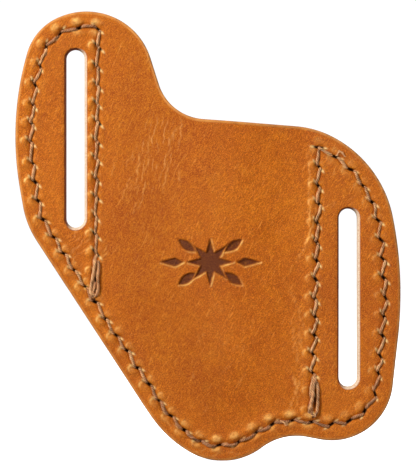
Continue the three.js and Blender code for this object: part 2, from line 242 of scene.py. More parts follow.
def left_normals(loop):
    """Unit normals on the left of travel round a closed loop, which is where the leather is."""
    return leftward(unit(np.roll(loop, -1, axis=0) - np.roll(loop, 1, axis=0)))


def drawn_in(loop, inset):
    return loop + left_normals(loop) * inset


def slot_loop(side, step):
    """A slot's edge, clockwise. side is -1 for the left slot and 1 for the right one."""
    radius = SLOT_WIDTH / 2
    centre = np.array([side * SLOT_SPACING / 2, -side * SLOT_STEP / 2])
    reach = SLOT_LENGTH / 2 - radius
    angles = np.linspace(0, math.pi, SLOT_END_POINTS)
    top = np.stack([np.cos(angles) * radius, np.sin(angles) * radius + reach], axis=1)
    ring = np.vstack([top, -top])[::-1]
    return closed_even(centre + ring, step)


def line_x(line, z):
    (top_x, top_z), (bottom_x, bottom_z) = line
    return bottom_x + (z - bottom_z) * (top_x - bottom_x) / (top_z - bottom_z)


def segment_distance(points, a, b):
    """Distance of each point from the segment a to b."""
    along = b - a
    share = np.clip(((points - a) @ along) / (along @ along), 0, 1)
    return np.linalg.norm(points - (a + share[:, None] * along), axis=1)


def polyline_distance(points, line):
    nearest = np.full(len(points), np.inf)
    for a, b in zip(line[:-1], line[1:]):
        nearest = np.minimum(nearest, segment_distance(points, a, b))
    return nearest


def spot_distance(points, x, z, half_width, half_height):
    """Distance from (x, z) that is 1 on an ellipse with these half sizes."""
    return np.linalg.norm((points - (x, z)) / (half_width, half_height), axis=1)


def inside(points, loops):
    """True for points inside an odd number of closed loops."""
    odd = np.zeros(len(points), bool)
    for loop in loops:
        for a, b in zip(loop, np.roll(loop, -1, axis=0)):
            if a[1] == b[1]:
                continue
            spans = (a[1] > points[:, 1]) != (b[1] > points[:, 1])
            at = a[0] + (points[:, 1] - a[1]) * (b[0] - a[0]) / (b[1] - a[1])
            odd ^= spans & (points[:, 0] < at)
    return odd


# ---- seams ----

def cut_margin():
    """The line inside the edge, cut by the two side lines: left side, bottom and right side."""
    margin = drawn_in(outline(MARGIN_STEP), SEAM_INSET)
    crossings = []
    for line in (LEFT_LINE, RIGHT_LINE):
        beside = margin[:, 0] - line_x(line, margin[:, 1])
        crossings += np.flatnonzero(beside * np.roll(beside, -1) < 0).tolist()
    mouth_left, junction_left, junction_right, mouth_right = sorted(crossings)
    return (margin[mouth_left:junction_left + 1], margin[junction_left:junction_right + 1],
            margin[junction_right:mouth_right + 1])


LEFT_SIDE, BOTTOM, RIGHT_SIDE = cut_margin()
bottom_holes = even_points(BOTTOM, STITCH_PITCH)
left_side_holes = even_points(LEFT_SIDE, STITCH_PITCH)
right_side_holes = even_points(RIGHT_SIDE, STITCH_PITCH)
left_line_holes, right_line_holes = (
    even_points(np.array([sides[end], bottom_holes[end] + (0, LINE_STOP)]), STITCH_PITCH)
    for sides, end in ((left_side_holes, 0), (right_side_holes, -1)))


class Holes:
    """Every needle hole: where it is, which way its seam runs and which way its slit lies."""

    def __init__(self):
        self.at, self.along, self.share, self.raise_by = [], [], [], []

    def pierce(self, points, run):
        """Adds a run of holes and returns their numbers."""
        first = len(self.at)
        for i, point in enumerate(points):
            self.at.append(point + RNG.normal(0, HOLE_WANDER, 2))
            self.along.append(points[min(i + 1, len(points) - 1)] - points[max(i - 1, 0)])
            self.share.append(SHARES[run])
            self.raise_by.append(SWELLS[run])
        return list(range(first, len(self.at)))

    def settle(self):
        """Gives every hole its slit, its swellings and the shares where the thread comes and goes."""
        count = len(self.at)
        self.at = np.array(self.at)
        self.along = unit(np.array(self.along))
        steep = self.along[:, 1] ** 4
        slant = LEVEL_SLANT + (UPRIGHT_SLANT - LEVEL_SLANT) * steep + RNG.normal(0, SLANT_WANDER, count)
        self.slit = turned(self.along, slant)
        self.spread = 1.3 - 0.35 * steep
        self.half = SLIT_HALF_LENGTH * RNG.uniform(0.85, 1.1, count)
        self.wide = SLIT_HALF_WIDTH * RNG.uniform(0.8, 1.3, count)
        upward = turned(self.along, math.pi / 2) @ SWELL_TOWARDS
        swell = SWELL_MEAN + SWELL_SWING * np.stack([upward, -upward], axis=1)
        swell = (swell + RNG.normal(0, SWELL_WANDER, swell.shape)) * np.array(self.raise_by)[:, None]
        self.swell = np.clip(swell, 0.1, 1.2)
        self.enter, self.leave = (RNG.uniform(*np.transpose(self.share)) for _ in range(2))

    def turn_corner(self, number, angle, share):
        self.slit[number] = (math.cos(angle), math.sin(angle))
        self.enter[number] = self.leave[number] = share


holes = Holes()
bottom_run = holes.pierce(bottom_holes, "bottom")
left_side_run = holes.pierce(left_side_holes[:-1], "left_side")
left_line_run = holes.pierce(left_line_holes[1:], "left_line")
right_side_run = holes.pierce(right_side_holes[1:], "right_side")
right_line_run = holes.pierce(right_line_holes[1:], "right_line")
holes.settle()
holes.turn_corner(left_side_run[0], *LEFT_CORNER)
holes.turn_corner(right_side_run[-1], *RIGHT_CORNER)

left_route = bottom_run[:OVERLAP_TO + 1][::-1] + left_side_run[::-1] + left_line_run
right_route = bottom_run[OVERLAP_FROM:] + right_side_run + right_line_run
overlap = set(bottom_run[OVERLAP_FROM:OVERLAP_TO + 1])


class Stitch:
    """One strand of thread on a face, from the far end of one slit to the near end of the next."""

    def __init__(self, a, b, aside, proud):
        ahead = unit(holes.at[b] - holes.at[a])
        slit_a = holes.slit[a] * (np.sign(holes.slit[a] @ ahead) or 1)
        slit_b = holes.slit[b] * (np.sign(holes.slit[b] @ ahead) or 1)
        self.dive_a = holes.at[a] + slit_a * (holes.leave[a] - DIVE_SHARE) * holes.half[a]
        self.dive_b = holes.at[b] - slit_b * (holes.enter[b] - DIVE_SHARE) * holes.half[b]
        self.a = holes.at[a] + slit_a * holes.leave[a] * holes.half[a]
        self.b = holes.at[b] - slit_b * holes.enter[b] * holes.half[b]
        self.left = leftward(ahead)
        self.aside = aside
        self.proud = proud
        low = smoothstep((AGED_BELOW[0] - self.a[1]) / AGED_BELOW[1])
        top = smoothstep((self.a[1] - AGED_ABOVE[0]) / AGED_ABOVE[1])
        left = smoothstep((AGED_LEFT_OF[0] - self.a[0]) / AGED_LEFT_OF[1])
        self.age = max(low, top * left) * RNG.uniform(0.5, 0.9)


def stitches_of(route, side):
    """A seam's stitches. Where both seams share holes, its own lie aside and, for side 1, on top."""
    made = []
    for a, b in zip(route[:-1], route[1:]):
        doubled = a in overlap and b in overlap
        made.append(Stitch(a, b, side * DOUBLED_ASIDE * doubled, (1 + side) * DOUBLED_PROUD * doubled))
    return made


left_stitches = stitches_of(left_route, 1)
right_stitches = stitches_of(right_route, -1)
# The left seam's last two stitches lie aside, to leave room for its back-tack.
for stitch in left_stitches[-2:]:
    stitch.aside = TACK_ASIDE
all_stitches = left_stitches + right_stitches

# Each seam runs back over its last stitches, in strands that lie loose on the front:
# (hole measured from, [(x, z, height), ...]).
left_loose = [(left_line_run[-1], strand) for strand in (
    [(0.1, 8.2, -0.7), (0.1, 7.2, 0.25), (-0.25, 5.2, 0.35), (-0.75, 2.7, 0.4), (-1.15, 0.2, 0.4),
     (-0.9, -1.1, 0.2), (-0.4, -1.9, -0.5)],
    [(0.8, 8, -0.8), (0.95, 7, 0.3), (1, 5.6, 0.4), (0.7, 3.7, 0.5), (0.85, 1.7, 0.5), (0.75, -0.2, 0.45),
     (0.2, -1.4, 0.4), (-0.4, -1, 0.35), (-0.3, 0.4, 0.25), (0.1, 2.2, -0.3)],
)]
right_loose = [(right_line_run[-1], strand) for strand in (
    [(0.2, 9.3, -0.8), (0.35, 7.6, 0.3), (-0.2, 4.6, 0.4), (0.1, 2.2, 0.4), (-0.6, -0.1, 0.35),
     (-0.2, -0.9, -0.5)],
    [(1, 8.6, -0.5), (0.95, 7.8, 0.4), (0.5, 5.6, 0.55), (0.35, 3.6, 0.6), (0, 1.4, 0.4), (0.2, 0, -0.4)],
    [(1.2, 8, -0.5), (1.6, 6.7, 0.3), (1.75, 4.6, 0.4), (1.65, 1.4, 0.4), (1.4, -0.4, 0.4),
     (0.8, -1.3, 0.35), (0.1, -0.7, 0.3), (-0.2, 0.1, -0.4)],
)]
# Painted shade in the hollows between those strands, which are also sunk a little: (hole measured from, x,
# z, half width, half height).
TACK_SHADED_HOLLOWS = [
    (left_line_run[-1], 0.1, 3.4, 0.4, 3.6), (left_line_run[-1], -0.2, -2.4, 0.6, 0.7),
    (right_line_run[-1], 0.95, 3.2, 0.4, 4.0), (right_line_run[-1], 0.5, -1.7, 0.6, 0.5),
]
# Single fibres that have worked loose, told the same way.
left_fibres = [(bottom_run[14], [
    (-3.2, 0.1 - 0.1 * k, 0.2), (-2.5 + 0.1 * k, -0.5, 0.5), (-1.9, -0.7 - 0.2 * k, 0.5),
    (-1.5 + 0.12 * k, -0.3 - 0.25 * k, 0.2),
]) for k in range(FIBRES)]
right_fibres = [(right_side_run[-2], [
    (0.2 * k, 0.2, 0.1), (0.9, 1.1 + 0.2 * k, 0.4), (1.9, 1.2 - 0.2 * k, 0.5), (2.3 + 0.15 * k, 0, 0.2),
]) for k in range(FIBRES)]
# The slits under the back-tacks are short, so that the strands cover them.
for number in (*left_line_run[-2:], *right_line_run[-2:]):
    holes.half[number] = TACKED_HALF_LENGTH

# ---- form of the leather ----

pocket_edge = np.vstack([[LEFT_LINE[0]], BOTTOM[::POCKET_EDGE_EVERY], [RIGHT_LINE[0]]])
pocket_area = np.vstack([pocket_edge, [(RIGHT_LINE[0][0], LEFT_LINE[0][1])]])


def pocket_rise(points):
    """How far the front panel stands off the midplane."""
    rise = POCKET_RISE * smoothstep(polyline_distance(points, pocket_edge) / RISE_REACH)
    return np.where(inside(points, [pocket_area]), rise, 0.0)


def flat(points):
    return np.zeros(len(points))


def waves(points, wavelength, count, seed):
    """Smooth unit-size unevenness: plane waves of about one length, in random directions."""
    rng = np.random.default_rng(seed)
    total = np.zeros(len(points))
    for _ in range(count):
        angle, phase = rng.uniform(0, math.tau, 2)
        pitch = wavelength * rng.uniform(0.7, 1.4)
        ray = np.array([math.cos(angle), math.sin(angle)]) * math.tau / pitch
        total += np.sin(points @ ray + phase)
    return total / math.sqrt(count)


def star_distance(points):
    """Signed distance to the ornament's outline, negative inside, for all its shapes together."""
    local = points - (MARK_X, MARK_Z)
    angles = np.arange(2 * STAR_POINTS) * math.pi / STAR_POINTS
    radii = np.where(np.arange(2 * STAR_POINTS) % 2 == 0, STAR_OUTER, STAR_INNER)
    star = np.stack([radii * np.cos(angles), radii * np.sin(angles)], axis=1)
    belly = DART_FROM + (DART_TO - DART_FROM) / 3
    dart = np.array([(DART_FROM, 0), (belly, -DART_HALF), (DART_TO, 0), (belly, DART_HALF)])
    share = np.linspace(0, 1, 13)
    spine = LEAF_DISTANCE + LEAF_LENGTH * (share - 0.5)
    bow = LEAF_HALF * np.sin(math.pi * share)
    leaf = np.vstack([np.stack([spine, -bow], axis=1), np.stack([spine, bow], axis=1)[-2:0:-1]])
    leaf_angles = (LEAF_ANGLE, -LEAF_ANGLE, math.pi - LEAF_ANGLE, math.pi + LEAF_ANGLE)
    shapes = [star, dart, dart * (-1, 1), *(turned(leaf, angle) for angle in leaf_angles)]
    nearest = np.full(len(points), np.inf)
    for shape in shapes:
        edge = polyline_distance(local, np.vstack([shape, shape[:1]]))
        nearest = np.minimum(nearest, np.where(inside(local, [shape]), -edge, edge))
    return nearest


def crease_lines():
    """Start, direction, length and wobble of every fold in the grain."""
    rng = np.random.default_rng(21)
    for x, z, half_width, half_height, lean, count, length, tall in CREASES:
        for _ in range(count):
            at = np.array([x, z]) + rng.uniform(-1, 1, 2) * (half_width, half_height)
            angle = math.radians(90 + lean + rng.normal(0, 9))
            run = length * rng.uniform(0.5, 1.4)
            yield at, angle, run, tall * rng.uniform(0.6, 1.3), rng.uniform(0, math.tau, 3)


def crease_ridges(points):
    ridges = np.zeros(len(points))
    for at, angle, run, tall, phases in crease_lines():
        near = np.flatnonzero(np.abs(points - at).max(axis=1) < run / 2 + 1.5)
        local = points[near] - at
        s = local[:, 0] * math.cos(angle) + local[:, 1] * math.sin(angle)
        t = local[:, 1] * math.cos(angle) - local[:, 0] * math.sin(angle)
        bend = 0.16 * np.sin(s * 1.9 + phases[0]) + 0.08 * np.sin(s * 4.3 + phases[1]) + 0.012 * s * s
        fade = np.clip(1 - (2 * s / run) ** 2, 0, 1) * (0.75 + 0.25 * np.sin(s * 3.1 + phases[2]))
        across = t - bend
        profile = np.exp(-(across / 0.2) ** 2) - 0.55 * np.exp(-((across - 0.4) / 0.28) ** 2)
        ridges[near] += tall * fade * profile
    return ridges


def about_hole(points, i, reach):
    """Points within reach of hole i: their numbers, their places from it, and along and across its slit."""
    near = np.flatnonzero(np.abs(points - holes.at[i]).max(axis=1) < reach)
    local = points[near] - holes.at[i]
    return near, local, local @ holes.slit[i], local @ leftward(holes.slit[i])


def mounds(local, i):
    """How far the leather is swollen on both sides of hole i, and how strongly a painted highlight lies on
    the crescents of its swellings that face the upper left.
    """
    along, normal = holes.along[i], leftward(holes.along[i])
    shifted = local - MOUND_SHIFT * SWELL_TOWARDS
    ahead, across = shifted @ along, shifted @ normal
    length = MOUND_LONG * holes.spread[i]
    girth = (ahead / length) ** 2 + ((np.abs(across) - MOUND_ASIDE) / MOUND_WIDE) ** 2
    lift = np.exp(-girth ** 1.2) * np.where(across > 0, *holes.swell[i])
    towards = np.array([SWELL_TOWARDS @ along, SWELL_TOWARDS @ normal])
    levelness = 1 - abs(along[1])
    painted_highlight = np.zeros(len(local))
    for sign, swell in zip((1, -1), holes.swell[i]):
        gap = shifted - sign * MOUND_ASIDE * normal
        gap = np.stack([gap @ along / holes.spread[i], gap @ normal], axis=1)
        radius = np.linalg.norm(gap, axis=1)
        facing = np.clip(gap @ towards / np.maximum(radius, 0.05), 0, 1) ** 1.5
        arc = facing * np.exp(-((radius - ARC_RADIUS) / ARC_WIDTH) ** 2)
        blob = np.exp(-((gap - 0.35 * towards) ** 2).sum(axis=1) / 0.6)
        painted_highlight = np.maximum(painted_highlight, swell * np.maximum(arc, levelness * blob))
    return lift, painted_highlight


def slit_form(u, v, i):
    """The painted shade on the sides of slit i, its tips, where the stretched leather is lighter and
    carries a painted highlight, and its depth, at u along it and v across it.
    """
    reach = np.clip(1 - (u / holes.half[i]) ** 2, 0, 1)
    gap = np.abs(v) - holes.wide[i] * reach
    beyond = np.abs(u) - holes.half[i]
    shaded_lips = np.exp(-(np.maximum(gap, 0) / LIP_WIDTH) ** 2 - (np.maximum(beyond, 0) / LIP_BEYOND) ** 2)
    taper = np.clip(TIP_WIDTH - 0.12 * beyond, 0.12, TIP_WIDTH)
    # The tips' lighter colour is partly a painted highlight.
    tips = np.exp(-((beyond - TIP_AT) / TIP_LENGTH) ** 2 - (v / taper) ** 2)
    depth = SLIT_DEPTH * smoothstep(-gap / (0.9 * holes.wide[i])) * (reach > 0)
    return shaded_lips, tips, depth * np.sqrt(reach)


def ornament(points):
    """How far each point is pressed in by the ornament, and how far it is on the raised rim beside the
    ornament's lower right edges, which gets a painted highlight.
    """
    mark, lit_lip = np.zeros((2, len(points)))
    near = np.flatnonzero(np.abs(points - (MARK_X, MARK_Z)).max(axis=1) < DART_TO + 1)
    gap = star_distance(points[near])
    on_lit_side = (gap - star_distance(points[near] - LIP_STEP * LIP_TOWARDS)) / LIP_STEP
    mark[near] = smoothstep(0.5 - gap / MARK_WALL)
    lit_lip[near] = np.exp(-((gap - 0.3) / 0.2) ** 2) * np.clip(on_lit_side, 0, 1)
    return mark, lit_lip


def grain_height(points, marked):
    """Height of the grain side above its plain form, and what the material needs to know there."""
    ridges, lift, pull, slit, tip, painted_highlight, mark, wrinkle = np.zeros((8, len(points)))
    counter_shade = np.full(len(points), 0.5)
    if marked:
        ridges = crease_ridges(points)
    height = sum(size * waves(points, *kind) for size, *kind in UNEVENNESS) + ridges
    for i in range(len(holes.at)):
        near, local, u, v = about_hole(points, i, HOLE_REACH)
        shaded_lips, tips, depth = slit_form(u, v, i)
        for kept, found in zip((lift, painted_highlight, slit, tip), (*mounds(local, i), shaded_lips, tips)):
            kept[near] = np.maximum(kept[near], found)
        height[near] -= depth
    # The hollows between the back-tacks' strands get the slits' painted shade.
    for hole, *hollow in TACK_SHADED_HOLLOWS:
        slit = np.maximum(slit, smoothstep(1.4 - spot_distance(points - holes.at[hole], *hollow)))
    for stitch in all_stitches:
        near = np.flatnonzero(np.abs(points - (stitch.a + stitch.b) / 2).max(axis=1) < PULL_REACH)
        shift = stitch.left * stitch.aside
        gap = segment_distance(points[near], stitch.a + shift, stitch.b + shift)
        pull[near] = np.maximum(pull[near], np.exp(-(gap / PULL_WIDTH) ** 2))
    height += MOUND_HEIGHT * lift * (1 - 0.8 * pull) - PULL_DEPTH * pull - SLIT_SINK * slit + TIP_RISE * tip
    if marked:
        for spot in WRINKLES:
            wrinkle = np.maximum(wrinkle, smoothstep(1.2 - spot_distance(points, *spot)))
        # Painted light against the pocket's shading: lighter where the front faces away from the key light,
        # darker where it faces it.
        slope = pocket_rise(points + 0.5 * COUNTER_SHADE_TOWARDS) - pocket_rise(points - 0.5 * COUNTER_SHADE_TOWARDS)
        counter_shade = np.clip(0.5 - 0.5 * slope / COUNTER_SHADE_SLOPE, 0, 1)
        mark, lit_lip = ornament(points)
        height += LIP_HEIGHT * lit_lip - MARK_DEPTH * mark
        # The raised rim beside the ornament shares the mounds' painted highlight.
        painted_highlight = np.maximum(painted_highlight, 0.9 * lit_lip)
    return height, {
        "lift": np.clip(lift, 0, 1), "pull": pull, "slit": slit, "tip": tip, "painted_highlight": painted_highlight, "mark": mark,
        "crease": np.clip(ridges / FULL_CREASE, 0, 1), "wrinkle": wrinkle, "counter_shade": counter_shade,
    }


# ---- panels ----

def hex_rows(spacing):
    """Rows of a hexagonal grid over the outline, as (x, z) points with row and column numbers."""
    low, high = outline(1).min(axis=0), outline(1).max(axis=0)
    columns = np.arange(round((high[0] - low[0]) / spacing) + 1)
    rows = np.arange(round((high[1] - low[1]) / (spacing * math.sqrt(0.75))) + 1)
    column, row = np.meshgrid(columns, rows)
    x = low[0] + (column + 0.5 * (row % 2)) * spacing
    z = low[1] + row * spacing * math.sqrt(0.75)
    return np.stack([x.ravel(), z.ravel()], axis=1), row.ravel(), column.ravel()


def within_rows(points, row, loops):
    """inside(), for points that lie in rows of one z each: quick, because each row is cut once."""
    kept = np.zeros(len(points), bool)
    starts = np.vstack(loops)
    ends = np.vstack([np.roll(loop, -1, axis=0) for loop in loops])
    order = np.argsort(row, kind="stable")
    for members in np.split(order, np.flatnonzero(np.diff(row[order])) + 1):
        z = points[members[0], 1]
        spans = (starts[:, 1] > z) != (ends[:, 1] > z)
        a, b = starts[spans], ends[spans]
        cuts = np.sort(a[:, 0] + (z - a[:, 1]) * (b[:, 0] - a[:, 0]) / (b[:, 1] - a[:, 1]))
        kept[members] = np.searchsorted(cuts, points[members, 0]) % 2 == 1
    return kept


def slit_points():
    """Rings round each slit and a line down its middle, so that its lips and bottom are sharp."""
    made = []
    for i in range(len(holes.at)):
        across = leftward(holes.slit[i])
        for grow, count in ((0.16, 26), (0.0, 22), (-0.45 * holes.wide[i], 16)):
            angle = np.linspace(0, math.tau, count, endpoint=False)
            u = (holes.half[i] + grow) * np.cos(angle)
            v = (holes.wide[i] + grow) * np.sin(angle) * np.abs(np.sin(angle))
            v = v + np.sign(np.sin(angle)) * max(grow, 0) * 0.5
            made.append(holes.at[i] + u[:, None] * holes.slit[i] + v[:, None] * across)
        u = np.linspace(-0.9, 0.9, 9) * holes.half[i]
        made.append(holes.at[i] + u[:, None] * holes.slit[i])
    return np.vstack(made)


def away_from_slits(points):
    clear = np.ones(len(points), bool)
    for i in range(len(holes.at)):
        near, _, u, v = about_hole(points, i, SLIT_REACH)
        u, v = np.abs(u), np.abs(v)
        reach = np.clip(1 - (u / (holes.half[i] + 0.25)) ** 2, 0, 1)
        clear[near] &= (v > holes.wide[i] * reach + 0.24) | (u > holes.half[i] + 0.26)
    return clear


def next_round(loops):
    """For every point of all the loops in turn, the number of the point after it on its own loop."""
    numbers = np.arange(sum(len(loop) for loop in loops))
    parts = np.split(numbers, np.cumsum([len(loop) for loop in loops[:-1]]))
    return np.concatenate([np.roll(part, -1) for part in parts])


def triangulated(loops, points):
    """A triangulation of the area between loops. Returns all its vertices, loops first, and triangles."""
    vertices = np.vstack([*loops, points])
    edges = list(enumerate(next_round(loops).tolist()))
    found = delaunay_2d_cdt([Vector(v) for v in vertices.tolist()], edges, [], 0, 1e-7)
    original = np.array([sources[0] if sources else -1 for sources in found[3]])
    triangles = original[np.array(found[2])]
    on_rim = (triangles < len(edges)).all(axis=1)
    keep = ~on_rim
    keep[on_rim] = inside(vertices[triangles[on_rim]].mean(axis=1), loops)
    return vertices, triangles[keep]


def face_points(marked):
    """Points for the grain side: fine near the seams, the ornament and the folds, coarse elsewhere."""
    points, row, column = hex_rows(FINE_GRID)
    rims = [drawn_in(outline(1.0), EDGE_PROFILE[0][0] + RIM_CLEARANCE)]
    rims += [drawn_in(slot_loop(side, 0.5), SLOT_PROFILE[0][0] + RIM_CLEARANCE) for side in (-1, 1)]
    kept = within_rows(points, row, rims)
    points, row, column = points[kept], row[kept], column[kept]
    fine = np.zeros(len(points), bool)
    for run in (bottom_run, left_side_run, left_line_run, right_side_run, right_line_run):
        fine |= polyline_distance(points, holes.at[run]) < FINE_REACH
    if marked:
        local = np.abs(points - (MARK_X, MARK_Z))
        fine |= (local[:, 0] < DART_TO + 0.8) & (local[:, 1] < STAR_OUTER + 0.8)
        for x, z, half_width, half_height, *_ in CREASES[:FINE_CREASES]:
            fine |= spot_distance(points, x, z, half_width + 1, half_height + 2) < 1
    coarse = (row % COARSE_EVERY == 0) & (column % COARSE_EVERY == 0)
    points = points[fine | coarse]
    points = points[away_from_slits(points)]
    points = points + np.random.default_rng(3).normal(0, 0.015, points.shape)
    return np.vstack([points, slit_points()])


def add_object(name, data):
    made = bpy.data.objects.new(name, data)
    bpy.context.scene.collection.objects.link(made)
    return made


def add_mesh(name, vertices_mm, faces, attributes, material):
    """A smooth-shaded mesh object, with one float attribute on its points for each name given."""
    mesh = bpy.data.meshes.new(name)
    mesh.from_pydata((vertices_mm * MM).tolist(), [], faces)
    mesh.shade_smooth()
    for key, values in attributes.items():
        layer = mesh.attributes.new(key, "FLOAT", "POINT")
        layer.data.foreach_set("value", np.asarray(values, np.float32))
    mesh.materials.append(material)
    return add_object(name, mesh)


def panel(name, face, rise, marked, material):
    """One leather panel as a closed solid. face is -1 if its grain looks to the front, 1 if to the back."""
    loops = [outline(EDGE_STEP), slot_loop(-1, EDGE_STEP), slot_loop(1, EDGE_STEP)]
    profiles = [EDGE_PROFILE, SLOT_PROFILE, SLOT_PROFILE]
    cuts = [EDGE_CUT, SLOT_CUT, SLOT_CUT]
    normals = [left_normals(loop) for loop in loops]

    broad = [np.ones(len(loop)) for loop in loops]
    for k in (1, 2):
        broad[k] = NARROW_RIM + RIM_GROWTH * smoothstep(0.5 + normals[k] @ LIT_RIM_TOWARDS)

    def ring(level):
        return [loop + normal * (profile[level][0] * width)[:, None]
                for loop, normal, profile, width in zip(loops, normals, profiles, broad)]

    def per_loop(values):
        return np.concatenate([np.full(len(loop), value) for loop, value in zip(loops, values)])

    top, top_faces = triangulated(ring(0), face_points(marked))
    height, notes = grain_height(top, marked)
    rim_count = sum(len(loop) for loop in loops)
    height[:rim_count] *= 0.5
    for key in ("cut", "lit_slot_rim", "edge_highlight", "flesh"):
        notes[key] = np.zeros(len(top))
    keys = {key: [values] for key, values in notes.items()}
    heights = [LEATHER + height + rise(top)]
    places = [top]
    # A slot's rim is painted light: light cream where it faces the key light, dark as painted shade where
    # it faces away.
    pale = np.vstack(normals) @ LIT_RIM_TOWARDS
    # The outer edge gets a painted highlight, strongest where it faces EDGE_GLINT_TOWARDS.
    edge_glint = per_loop([EDGE_GLINT, 0.0, 0.0]) * smoothstep(0.1 - np.vstack(normals) @ EDGE_GLINT_TOWARDS)
    lit_slot_rim = per_loop([0.0, 1.0, 1.0]) * (0.03 + 0.97 * smoothstep(0.5 + pale))

    for level in range(1, len(EDGE_PROFILE)):
        points = np.vstack(ring(level))
        depth = per_loop([profile[level][1] for profile in profiles])
        cut = per_loop([smoothstep((profile[level][1] - start) / (full - start))
                        for profile, (start, full) in zip(profiles, cuts)])
        places.append(points)
        heights.append(LEATHER + height[:rim_count] * (1 - depth / LEATHER) - depth + rise(points))
        edge_highlight = np.maximum(per_loop([EDGE_HIGHLIGHT_LEVELS.get(level, 0.0), 0.0, 0.0]), edge_glint)
        known = {"cut": cut, "lit_slot_rim": lit_slot_rim, "edge_highlight": edge_highlight}
        for key in keys:
            keys[key].append(known.get(key, np.zeros(len(points))))

    flesh_loops = ring(len(EDGE_PROFILE) - 1)
    flesh_rims = [drawn_in(loop, FLESH_CLEARANCE) for loop in flesh_loops]
    grid, row, _ = hex_rows(FLESH_GRID)
    grid = grid[within_rows(grid, row, flesh_rims)]
    base, base_faces = triangulated(flesh_loops, grid)
    inner = base[rim_count:]
    places.append(inner)
    heights.append(rise(inner) + LEATHER - EDGE_PROFILE[-1][1])
    for key in keys:
        keys[key].append(np.full(len(inner), 1.0 if key == "flesh" else 0.0))

    place = np.vstack(places)
    y = MIDPLANE_Y + face * np.concatenate(heights)
    vertices = np.stack([place[:, 0], y, place[:, 1]], axis=1)

    i, j = np.arange(rim_count), next_round(loops)
    levels = [0, *(len(top) + level * rim_count for level in range(len(EDGE_PROFILE) - 1))]
    faces = top_faces.tolist()
    for upper, lower in zip(levels, levels[1:]):
        faces += np.stack([upper + i, lower + i, lower + j, upper + j], axis=1).tolist()
    faces += (levels[-1] + base_faces[:, ::-1]).tolist()
    if face > 0:
        faces = [corners[::-1] for corners in faces]
    attributes = {key: np.concatenate(values) for key, values in keys.items()}
    return add_mesh(name, vertices, faces, attributes, material)


# ---- threads ----

def smooth_path(points, count):
    """Catmull-Rom through the points, in even steps of length, and that length."""
    padded = np.vstack([2 * points[0] - points[1], points, 2 * points[-1] - points[-2]])
    fine = []
    for i in range(1, len(padded) - 2):
        p0, p1, p2, p3 = padded[i - 1:i + 3]
        t = np.linspace(0, 1, PATH_STEPS, endpoint=False)[:, None]
        fine.append(0.5 * (2 * p1 + (p2 - p0) * t + (2 * p0 - 5 * p1 + 4 * p2 - p3) * t ** 2
                           + (3 * p1 - p0 - 3 * p2 + p3) * t ** 3))
    fine = np.vstack([*fine, points[-1:]])
    lengths = lengths_along(fine)
    targets = np.linspace(0, lengths[-1], count)
    return np.stack([np.interp(targets, lengths, fine[:, k]) for k in range(3)], axis=1), lengths[-1]


def tube(path, radii, sides):
    """A closed tube round a path: its vertices and faces."""
    along = unit(np.gradient(path, axis=0))
    side = np.cross(along, (0.0, 1.0, 0.0))
    side = unit(np.where(np.linalg.norm(side, axis=1, keepdims=True) > 1e-3, side, (1.0, 0.0, 0.0)))
    up = np.cross(side, along)
    angle = np.linspace(0, math.tau, sides, endpoint=False)
    ring = np.cos(angle)[None, :, None] * side[:, None] + np.sin(angle)[None, :, None] * up[:, None]
    vertices = (path[:, None] + ring * np.asarray(radii)[:, None, None]).reshape(-1, 3)
    i, j = np.meshgrid(np.arange(len(path) - 1), np.arange(sides), indexing="ij")
    k = (j + 1) % sides
    faces = np.stack([i * sides + j, i * sides + k, (i + 1) * sides + k, (i + 1) * sides + j], axis=-1)
    caps = [list(range(sides))[::-1], list(range((len(path) - 1) * sides, len(path) * sides))]
    return vertices, faces.reshape(-1, 4).tolist() + caps


class Strands:
    """Gathers a thread's plies and fibres into one mesh."""

    def __init__(self):
        self.vertices, self.faces, self.tone, self.out = [], [], [], []
        self.count = 0

    def add(self, vertices, faces, tone, out):
        self.vertices.append(vertices)
        self.faces += [[v + self.count for v in f] for f in faces]
        self.tone.append(np.full(len(vertices), tone))
        self.out.append(out / (PLY_OFFSET + PLY_RADIUS))
        self.count += len(vertices)

    def twisted(self, path, length, age=0.0):
        """Three plies laid round the path. Age darkens them, from 0 to 1."""
        along = unit(np.gradient(path, axis=0))
        side = unit(np.cross(along, (0.0, 1.0, 0.0)) + 1e-9)
        up = np.cross(side, along)
        distance = np.linspace(0, length, len(path))
        start = RNG.uniform(0, math.tau)
        squeeze = 1 + 0.09 * np.sin(distance * 1.3 + start) + 0.05 * np.sin(distance * 3.7 + 2 * start)
        for ply in range(PLIES):
            angle = start + ply * math.tau / PLIES + math.tau * distance / TWIST_PITCH
            lay = PLY_OFFSET * squeeze * RNG.uniform(0.85, 1.2)
            offset = lay[:, None] * (np.cos(angle)[:, None] * side + np.sin(angle)[:, None] * up)
            vertices, faces = tube(path + offset, PLY_RADIUS * squeeze * RNG.uniform(0.9, 1.1), PLY_SIDES)
            out = np.linalg.norm(vertices - np.repeat(path, PLY_SIDES, axis=0), axis=1)
            self.add(vertices, faces, RNG.uniform(0, 1) - 1.4 * age, out)

    def single(self, path):
        """One thin fibre."""
        vertices, faces = tube(path, np.full(len(path), FIBRE_RADIUS), FIBRE_SIDES)
        self.add(vertices, faces, 1.0, np.ones(len(vertices)))

    def make(self, name, material):
        attributes = {"tone": np.concatenate(self.tone), "out": np.concatenate(self.out)}
        return add_mesh(name, np.vstack(self.vertices), self.faces, attributes, material)


